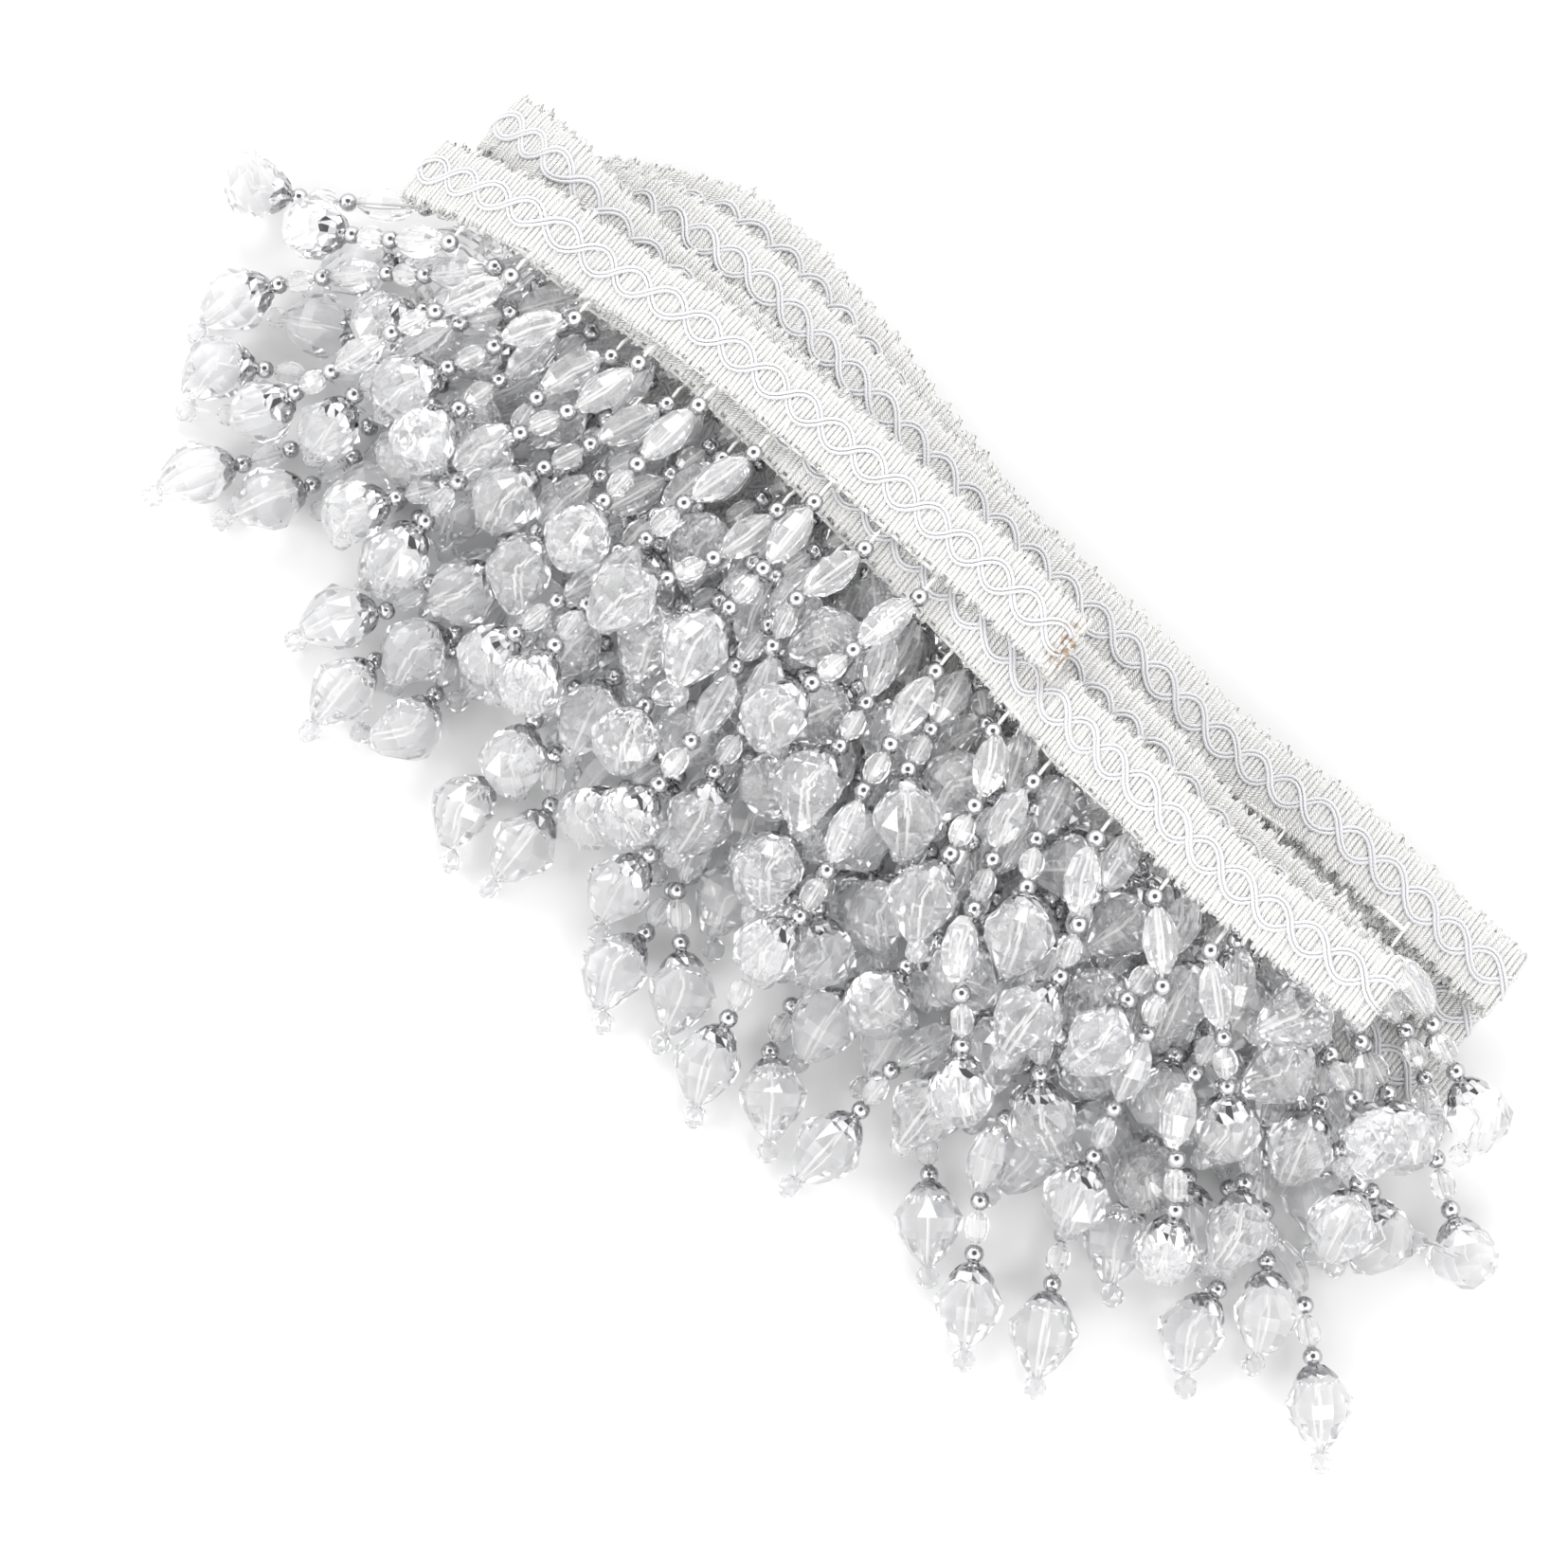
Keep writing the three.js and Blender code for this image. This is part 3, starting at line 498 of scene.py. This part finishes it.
class BraidLine:
    """The braid's middle line: gives a point at a length, across the width and up from the cloth."""

    def __init__(self):
        step, rounding, shortest = 0.5 * MM, 4, 1.5
        self.points = even_steps(smoothed(even_steps(braid_middles(), step), rounding), step)
        self.length = float(np.sum(np.linalg.norm(np.diff(self.points, axis=0), axis=1)))
        if self.length < shortest:
            raise RuntimeError("the braid's middle line is too short")
        self.places = np.linspace(0.0, self.length, len(self.points))
        along = np.gradient(self.points, axis=0)
        self.up = np.stack([-along[:, 2], np.zeros(len(along)), along[:, 0]], axis=1)
        self.up /= np.linalg.norm(self.up, axis=1)[:, None]

    def at(self, places, across, up):
        """Points for arrays of length, place across and height, in metres."""
        middle = np.stack([np.interp(places, self.places, self.points[:, part]) for part in range(3)], axis=1)
        normal = np.stack([np.interp(places, self.places, self.up[:, part]) for part in range(3)], axis=1)
        normal /= np.linalg.norm(normal, axis=1)[:, None]
        made = middle + normal * np.asarray(up)[:, None]
        made[:, 1] += across
        return made


# Meshes

def mesh_piece(name, points, faces, materials, slots=None, smooth=True, uv=None):
    """A new object at the origin from points and faces, pressed flat where it meets the surface below."""
    mesh = bpy.data.meshes.new(name)
    mesh.from_pydata([(x, y, max(z, 0.0)) for x, y, z in points], [], faces)
    for material in materials:
        mesh.materials.append(material)
    if slots is not None:
        mesh.polygons.foreach_set("material_index", slots)
    flags = [smooth] * len(faces) if isinstance(smooth, bool) else smooth
    mesh.polygons.foreach_set("use_smooth", flags)
    if uv is not None:
        layer = mesh.uv_layers.new(name="along")
        corners = np.empty(len(mesh.loops), dtype=np.int32)
        mesh.loops.foreach_get("vertex_index", corners)
        layer.data.foreach_set("uv", np.asarray(uv, dtype=np.float32)[corners].ravel())
    mesh.update()
    piece = bpy.data.objects.new(name, mesh)
    bpy.context.scene.collection.objects.link(piece)
    return piece


def tube(route, width, height, sides):
    """Points, faces and lengthwise places of a closed tube along a route, flattened to a height."""
    count, shortest, least_slope = len(route), 1e-12, 0.2
    along = np.gradient(route, axis=0)
    along /= np.maximum(np.linalg.norm(along, axis=1), shortest)[:, None]
    side = np.cross(along, (0.0, 0.0, 1.0))
    steep = np.linalg.norm(side, axis=1) < least_slope
    side[steep] = np.cross(along[steep], (0.0, 1.0, 0.0))
    side /= np.linalg.norm(side, axis=1)[:, None]
    for index in range(1, count):
        if side[index].dot(side[index - 1]) < 0:
            side[index] = -side[index]
    raised = np.cross(side, along)
    turns = np.arange(sides) * 2 * math.pi / sides
    ring = (
        side[:, None, :] * (np.cos(turns) * width / 2)[None, :, None]
        + raised[:, None, :] * (np.sin(turns) * height / 2)[None, :, None]
    )
    points = (route[:, None, :] + ring).reshape(-1, 3)
    lengths = np.concatenate(([0.0], np.cumsum(np.linalg.norm(np.diff(route, axis=0), axis=1)))) / MM
    around = np.abs(np.linspace(-1.0, 1.0, sides, endpoint=False))
    uv = np.stack([np.repeat(lengths, sides), np.tile(around, count)], axis=1)
    faces = []
    for index in range(count - 1):
        low, high = index * sides, (index + 1) * sides
        for turn in range(sides):
            following = (turn + 1) % sides
            faces.append((low + turn, high + turn, high + following, low + following))
    faces.append(tuple(range(sides)))
    faces.append(tuple(reversed(range((count - 1) * sides, count * sides))))
    return points, faces, uv


# Bead shapes, modelled once each with the axis of the thread along Z

def turned_bead(name, sides, profile, turned=()):
    """A faceted bead: a disc drawn from ring to ring, where turned rings are half a facet round."""
    deselect_all()
    place, radius = profile[0]
    bpy.ops.mesh.primitive_circle_add(vertices=sides, radius=radius, fill_type="NGON", location=(0, 0, place))
    piece = bpy.context.object
    piece.name = name
    bpy.ops.object.transform_apply(location=True, rotation=False, scale=False)
    bpy.ops.object.mode_set(mode="EDIT")
    bpy.ops.mesh.select_all(action="SELECT")
    for index in range(1, len(profile)):
        following, wide = profile[index]
        bpy.ops.mesh.extrude_region_move(TRANSFORM_OT_translate={"value": (0, 0, following - place)})
        middle = (0, 0, following)
        bpy.ops.transform.resize(value=(wide / radius, wide / radius, 1), center_override=middle)
        if index in turned:
            bpy.ops.transform.rotate(value=math.pi / sides, orient_axis="Z", center_override=middle)
        place, radius = following, wide
    bpy.ops.mesh.select_all(action="SELECT")
    bpy.ops.mesh.normals_make_consistent(inside=False)
    bpy.ops.object.mode_set(mode="OBJECT")
    return piece


def spread(length, width, steps):
    """Turns shares of a bead's length and of its half width into places and radii."""
    return [((along - 0.5) * length, share * width / 2) for along, share in steps]


def metal_ball():
    """A round ball with flat ends where its hole is."""
    deselect_all()
    radius, flat = beads().ball_width / 2, 0.92
    bpy.ops.mesh.primitive_uv_sphere_add(segments=10, ring_count=6, radius=radius)
    piece = bpy.context.object
    piece.name = "ball"
    bpy.ops.object.mode_set(mode="EDIT")
    for side in (1, -1):
        bpy.ops.mesh.select_all(action="SELECT")
        bpy.ops.mesh.bisect(
            plane_co=(0, 0, side * flat * radius), plane_no=(0, 0, side), use_fill=True, clear_outer=True,
        )
    bpy.ops.object.mode_set(mode="OBJECT")
    bpy.ops.object.shade_smooth_by_angle(angle=math.radians(50))
    return piece


def petal_cap():
    """A thin metal bell with open work and eight petals, which sits on the crown of the drop."""
    deselect_all()
    half = beads().cap_width / 2
    sides, wall, petal = 16, 0.3 * MM, 0.9 * MM
    window_low, window_high = -1.2 * MM, -0.5 * MM
    rings = (
        (-1.8 * MM, 0.3 * half), (-1.3 * MM, 0.62 * half), (-0.4 * MM, 0.9 * half), (0.7 * MM, 1.12 * half),
    )
    place, radius = rings[0]
    bpy.ops.mesh.primitive_circle_add(vertices=sides, radius=radius, location=(0, 0, place))
    piece = bpy.context.object
    piece.name = "cap"
    bpy.ops.object.transform_apply(location=True, rotation=False, scale=False)
    bpy.ops.object.mode_set(mode="EDIT")
    bpy.ops.mesh.select_all(action="SELECT")
    for following, wide in rings[1:]:
        bpy.ops.mesh.extrude_region_move(TRANSFORM_OT_translate={"value": (0, 0, following - place)})
        bpy.ops.transform.resize(value=(wide / radius, wide / radius, 1), center_override=(0, 0, following))
        place, radius = following, wide

    # Every second corner of the rim is drawn out to a petal
    shape = bmesh.from_edit_mesh(piece.data)
    bpy.ops.mesh.select_all(action="DESELECT")
    for corner in shape.verts:
        turn = round(math.atan2(corner.co.y, corner.co.x) / (2 * math.pi / sides))
        corner.select = corner.co.z > 0 and turn % 2 == 0
    bmesh.update_edit_mesh(piece.data)
    bpy.ops.transform.translate(value=(0, 0, petal))

    # Every second face of the middle ring is cut out
    bpy.ops.mesh.select_mode(type="FACE")
    bpy.ops.mesh.select_all(action="DESELECT")
    shape = bmesh.from_edit_mesh(piece.data)
    for face in shape.faces:
        middle = face.calc_center_median()
        turn = math.floor(math.atan2(middle.y, middle.x) / (2 * math.pi / sides))
        face.select = window_low < middle.z < window_high and turn % 2 == 0
    bmesh.update_edit_mesh(piece.data)
    bpy.ops.mesh.delete(type="FACE")
    bpy.ops.mesh.select_mode(type="VERT")
    bpy.ops.object.mode_set(mode="OBJECT")
    thick = piece.modifiers.new("wall", "SOLIDIFY")
    thick.thickness = wall
    thick.offset = 1.0
    bpy.ops.object.modifier_apply(modifier=thick.name)
    bpy.ops.object.mode_set(mode="EDIT")
    bpy.ops.mesh.select_all(action="SELECT")
    bpy.ops.mesh.normals_make_consistent(inside=False)
    bpy.ops.object.mode_set(mode="OBJECT")
    return piece


def taken(piece, slot):
    """A modelled shape as points, faces, smooth flags and its material's place; its object is removed."""
    mesh = piece.data
    points = np.array([corner.co for corner in mesh.vertices])
    faces = [tuple(face.vertices) for face in mesh.polygons]
    flags = [face.use_smooth for face in mesh.polygons]
    bpy.data.objects.remove(piece)
    bpy.data.meshes.remove(mesh)
    return points, faces, flags, slot


def bead_shapes():
    """Each kind of bead, modelled once."""
    sizes = beads()
    drop = spread(sizes.drop_length, sizes.drop_width, (
        (0.0, 0.2), (0.1, 0.62), (0.36, 1.0), (0.54, 0.93), (0.86, 0.5), (1.0, 0.17),
    ))
    olive = spread(sizes.olive_length, sizes.olive_width, (
        (0.0, 0.3), (0.2, 0.78), (0.5, 1.0), (0.8, 0.78), (1.0, 0.3),
    ))
    oval = spread(sizes.oval_length, sizes.oval_width, (
        (0.0, 0.4), (0.2, 0.85), (0.5, 1.0), (0.8, 0.85), (1.0, 0.4),
    ))
    end = spread(sizes.end_width, sizes.end_width, (
        (0.0, 0.35), (0.22, 0.85), (0.5, 1.0), (0.78, 0.85), (1.0, 0.35),
    ))
    return {
        "drop": taken(turned_bead("drop", 11, drop, turned=(2,)), ACRYLIC),
        "olive": taken(turned_bead("olive", 9, olive), ACRYLIC),
        "oval": taken(turned_bead("oval", 8, oval), ACRYLIC),
        "end": taken(turned_bead("end", 8, end, turned=(2,)), ACRYLIC),
        "ball": taken(metal_ball(), METAL),
        "cap": taken(petal_cap(), METAL),
    }


class Joined:
    """Copies of shapes gathered into one mesh."""

    def __init__(self):
        self.points, self.faces, self.smooth, self.slots, self.count = [], [], [], [], 0

    def add(self, points, faces, smooth, slot):
        """Adds one shape, with its faces counted on from those before it."""
        self.points.append(points)
        self.faces.extend(tuple(corner + self.count for corner in face) for face in faces)
        self.smooth.extend(smooth)
        self.slots.extend([slot] * len(faces))
        self.count += len(points)

    def add_cord(self, route, width, height, sides, slot):
        """Adds a closed tube along a route, and gives its lengthwise places."""
        points, faces, uv = tube(route, width, height, sides)
        self.add(points, faces, [True] * len(faces), slot)
        return uv

    def piece(self, name, materials, uv=None):
        """One object of all the shapes that were added."""
        points = np.concatenate(self.points)
        return mesh_piece(name, points, self.faces, materials, self.slots, self.smooth, uv)


def add_bead(joined, shape, middle, axis, spin, size):
    """One copy of a bead, threaded on the axis and never below the surface that it lies on."""
    points, faces, smooth, slot = shape
    turn = Vector((0, 0, 1)).rotation_difference(axis).to_matrix() @ Matrix.Rotation(spin, 3, "Z")
    made = points @ np.array(turn).T * size + np.array(middle)
    made[:, 2] += max(0.0, -made[:, 2].min())
    joined.add(made, faces, smooth, slot)


class FRINGE_OT_strands(bpy.types.Operator):
    """Makes the strands of threaded beads, joined to one piece for each pass of the braid"""

    bl_idname = "fringe.strands"
    bl_label = "Bead strands"

    def execute(self, context):
        shapes = bead_shapes()
        materials = (clear_acrylic(), bright_metal(), white_thread())
        pick, axis_reach = random.Random(7), 2.5
        for name in PASS_NAMES:
            routes = strand_routes("fringe_" + name)
            if not routes:
                raise RuntimeError(f"no strand was found on pass {name}")
            joined = Joined()
            for is_long, places, points in routes:
                for kind, along in LONG_BEADS if is_long else SHORT_BEADS:
                    before = point_at(places, points, along - axis_reach)
                    after = point_at(places, points, along + axis_reach)
                    add_bead(
                        joined, shapes[kind], point_at(places, points, along), (after - before).normalized(),
                        pick.uniform(0, 2 * math.pi), pick.uniform(0.95, 1.0),
                    )
                thread = [point_at(places, points, along) for along in (*THREAD_START, *places[:-1])]
                joined.add_cord(np.array(thread), beads().thread_width, beads().thread_width, 4, THREAD)
            roots = np.array([point_at(places, points, -HEADING_BACK) for _, places, points in routes])
            joined.add_cord(even_steps(roots, 3 * MM), HEADING_WIDTH, HEADING_WIDTH, 6, THREAD)
            piece = joined.piece("strands_" + name, materials)
            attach(piece, "root")
            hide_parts("fringe_" + name)
        return {"FINISHED"}


def edge_at(places):
    """Half the braid's width at its lobed edge, for an array of lengths."""
    sizes = braid()
    lobes = np.abs(np.sin(math.pi * places / sizes.scallop_pitch))
    return sizes.width / 2 - sizes.yarn_width / 2 - sizes.scallop_depth * (1 - lobes)


def make_tape(line):
    """The thin woven middle of the braid, which lies in the folds of the solid."""
    step, stretch = 1.5 * MM, 6
    places = np.arange(0.0, line.length, step)
    shares = (-TAPE_SHARE, -0.5, 0.0, 0.5, TAPE_SHARE)
    half = braid().width / 2 - TAPE_MARGIN
    columns = [line.at(places, share * half, np.zeros(len(places))) for share in shares]
    points = np.stack(columns, axis=1).reshape(-1, 3)
    wide = len(shares)
    faces = [
        (row * wide + part, (row + 1) * wide + part, (row + 1) * wide + part + 1, row * wide + part + 1)
        for row in range(len(places) - 1) for part in range(wide - 1)
    ]
    uv = [(place / MM, share * stretch) for place in places for share in shares]
    woven = yarn_cloth("woven tape", scaled(braid().yarn_colour, 0.93), 0.5)
    tape = mesh_piece("braid_tape", points, faces, [woven], uv=uv)
    deselect_all()
    tape.select_set(True)
    bpy.context.view_layer.objects.active = tape
    thick = tape.modifiers.new("thickness", "SOLIDIFY")
    thick.thickness = TAPE_THICKNESS
    thick.offset = 0.0
    bpy.ops.object.modifier_apply(modifier=thick.name)
    return tape


def make_yarn(line, name, start, end, material):
    """One yarn that crosses the braid over and under, with a loop at each edge."""
    sizes = braid()
    steps, rise, flatness = 6, 0.36 * MM, 0.35
    loop_spread, rise_spread, place_spread = 0.24 * MM, 0.035 * MM, 0.09 * MM
    first, last = (round(place / sizes.yarn_pitch) * steps for place in (start, end))
    phase = np.arange(first, last + 1) / steps
    pick = np.random.default_rng(11)
    wave = np.sin(math.pi * phase)
    crossings = np.arange(phase[0], phase[-1] + 2)
    loops = np.interp(phase, crossings, pick.normal(0.0, loop_spread, len(crossings)))
    across = -np.cos(math.pi * phase) * (edge_at(phase * sizes.yarn_pitch) + loops)
    up = rise * np.sign(wave) * np.abs(wave) ** flatness + pick.normal(0.0, rise_spread, len(phase))
    places = phase * sizes.yarn_pitch + pick.normal(0.0, place_spread, len(phase))
    route = line.at(np.clip(places, 0.0, line.length), across, up)
    points, faces, uv = tube(route, sizes.yarn_width, 0.72 * sizes.yarn_width, 5)
    return mesh_piece(name, points, faces, [material], uv=uv)


def make_cords(line, name, side, material):
    """The chain of ovals on one face of the braid: two pairs of cords that cross again and again."""
    sizes = braid()
    inset, step = 0.4 * MM, 1.1 * MM
    height, sway, fullness, closeness = 0.72 * MM, 0.15 * MM, 0.88, 0.98
    joined, coordinates = Joined(), []
    places = np.arange(inset, line.length - inset, step)
    turn = math.pi / sizes.oval_pitch
    for chain in (1, -1):
        wave = np.sin(turn * places)
        across = chain * sizes.oval_height / 2 * np.sign(wave) * np.abs(wave) ** fullness
        slope = np.arctan(np.gradient(across, places))
        up = side * (height + sway * chain * np.cos(turn * places))
        for lane in (-0.5, 0.5):
            shift = lane * sizes.cord_width * closeness
            route = line.at(places - np.sin(slope) * shift, across + np.cos(slope) * shift, up)
            coordinates.append(joined.add_cord(route, sizes.cord_width, 0.9 * sizes.cord_width, 5, 0))
    return joined.piece(name, [material], np.concatenate(coordinates))


class FRINGE_OT_yarn(bpy.types.Operator):
    """Makes the crossing yarn of the braid, with its looped edges, in two halves"""

    bl_idname = "fringe.yarn"
    bl_label = "Looped yarn"

    def execute(self, context):
        line = BraidLine()
        yarn = yarn_cloth("looped yarn", tuple(braid().yarn_colour), 0.7)
        ends = (0.0, line.length / 2, line.length)
        for name, start, end in zip(YARN_PIECES, ends, ends[1:]):
            piece = make_yarn(line, name, start, end, yarn)
            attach(piece, "root")
        return {"FINISHED"}


class FRINGE_OT_cords(bpy.types.Operator):
    """Makes the chains of ovals in satin cord, one on each face of the braid"""

    bl_idname = "fringe.cords"
    bl_label = "Satin cords"

    def execute(self, context):
        line = BraidLine()
        satin = satin_cord()
        for name, side in zip(CORD_PIECES, (1, -1)):
            piece = make_cords(line, name, side, satin)
            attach(piece, "root")
        return {"FINISHED"}


class FRINGE_OT_tape(bpy.types.Operator):
    """Makes the braid's thin woven tape, folded as it lies, with the yarn and the cords on it"""

    bl_idname = "fringe.tape"
    bl_label = "Folded tape"

    def execute(self, context):
        line = BraidLine()
        tape = make_tape(line)
        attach(tape, "root")
        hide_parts("braid")
        return {"FINISHED"}


def soft_light(name, place, target, size, power):
    """A large soft lamp that looks at a point."""
    lamp = bpy.data.lights.new(name, "AREA")
    lamp.shape = "SQUARE"
    lamp.size = size
    lamp.energy = power
    holder = bpy.data.objects.new(name, lamp)
    holder.location = place
    holder.rotation_mode = "QUATERNION"
    holder.rotation_quaternion = (Vector(target) - Vector(place)).to_track_quat("-Z", "Y")
    bpy.context.scene.collection.objects.link(holder)


def studio_world():
    """A soft white surround that is darker at the horizon, with a dark opening overhead."""
    world = bpy.data.worlds.new("studio")
    world.use_nodes = True
    nodes, links = world.node_tree.nodes, world.node_tree.links
    direction, parts = nodes.new("ShaderNodeTexCoord"), nodes.new("ShaderNodeSeparateXYZ")
    links.new(direction.outputs["Generated"], parts.inputs["Vector"])
    shade = nodes.new("ShaderNodeValToRGB")
    links.new(parts.outputs["Z"], shade.inputs["Fac"])
    stops = shade.color_ramp.elements
    stops.remove(stops[1])
    for place, grey in WORLD_LIGHT:
        stop = stops.new(place) if place else stops[0]
        stop.color = (grey, grey, grey, 1)
    links.new(shade.outputs["Color"], nodes["Background"].inputs["Color"])
    nodes["Background"].inputs["Strength"].default_value = WORLD_STRENGTH
    return world


def photo_camera():
    """The camera at the photo's angle."""
    azimuth, elevation = math.radians(CAMERA_TURN), math.radians(CAMERA_HEIGHT)
    level = math.cos(elevation)
    back = Vector((math.sin(azimuth) * level, -math.cos(azimuth) * level, math.sin(elevation)))
    camera = bpy.data.cameras.new("camera")
    camera.lens = CAMERA_LENS
    holder = bpy.data.objects.new("camera", camera)
    holder.location = Vector(CAMERA_TARGET) + back * (CAMERA_SPAN * camera.lens / camera.sensor_width)
    holder.rotation_mode = "QUATERNION"
    holder.rotation_quaternion = (-back).to_track_quat("-Z", "Y")
    bpy.context.scene.collection.objects.link(holder)
    return holder


class FRINGE_OT_stage(bpy.types.Operator):
    """Makes the pale floor, the soft studio light and the camera"""

    bl_idname = "fringe.stage"
    bl_label = "Stage"

    def execute(self, context):
        deselect_all()
        width, drop = 6, 0.2 * MM
        bpy.ops.mesh.primitive_plane_add(size=width, location=(0, 0, -drop))
        floor = context.object
        floor.name = "floor"
        bpy.ops.object.transform_apply(location=True, rotation=False, scale=False)
        floor.data.materials.append(pale_floor())
        context.scene.world = studio_world()
        for name, place, size, power in LAMPS:
            soft_light(name, place, LAMP_TARGET, size, power)
        context.scene.camera = photo_camera()
        context.scene.view_settings.view_transform = "Standard"
        context.scene.view_settings.gamma = 1.3
        return {"FINISHED"}


class FRINGE_PT_panel(bpy.types.Panel):
    """Lists the pieces of the trim and their sizes"""

    bl_label = "Beaded fringe trim"
    bl_idname = "FRINGE_PT_panel"
    bl_space_type = "VIEW_3D"
    bl_region_type = "UI"
    bl_category = "Fringe"

    def draw(self, context):
        """Shows a button for each group of pieces, then the sizes and colours."""
        for made in PIECES:
            self.layout.operator(made.bl_idname)
        for sizes in (context.scene.fringe_braid, context.scene.fringe_beads):
            box = self.layout.box()
            for name in sizes.bl_rna.properties.keys():
                if name not in ("rna_type", "name"):
                    box.prop(sizes, name)


PIECES = (FRINGE_OT_yarn, FRINGE_OT_cords, FRINGE_OT_tape, FRINGE_OT_strands, FRINGE_OT_stage)
CLASSES = (BeadSizes, BraidSizes, *PIECES, FRINGE_PT_panel)


def register():
    """Registers the classes and hangs the sizes on the scene."""
    for made in CLASSES:
        bpy.utils.register_class(made)
    bpy.types.Scene.fringe_beads = PointerProperty(type=BeadSizes)
    bpy.types.Scene.fringe_braid = PointerProperty(type=BraidSizes)


def unregister():
    """Takes the sizes off the scene and unregisters the classes."""
    del bpy.types.Scene.fringe_beads
    del bpy.types.Scene.fringe_braid
    for made in reversed(CLASSES):
        bpy.utils.unregister_class(made)


def main():
    """Builds the whole trim on its frame."""
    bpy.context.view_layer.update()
    register()
    bpy.ops.fringe.yarn()
    bpy.ops.fringe.cords()
    bpy.ops.fringe.tape()
    bpy.ops.fringe.strands()
    bpy.ops.fringe.stage()


if __name__ == "__main__":
    main()
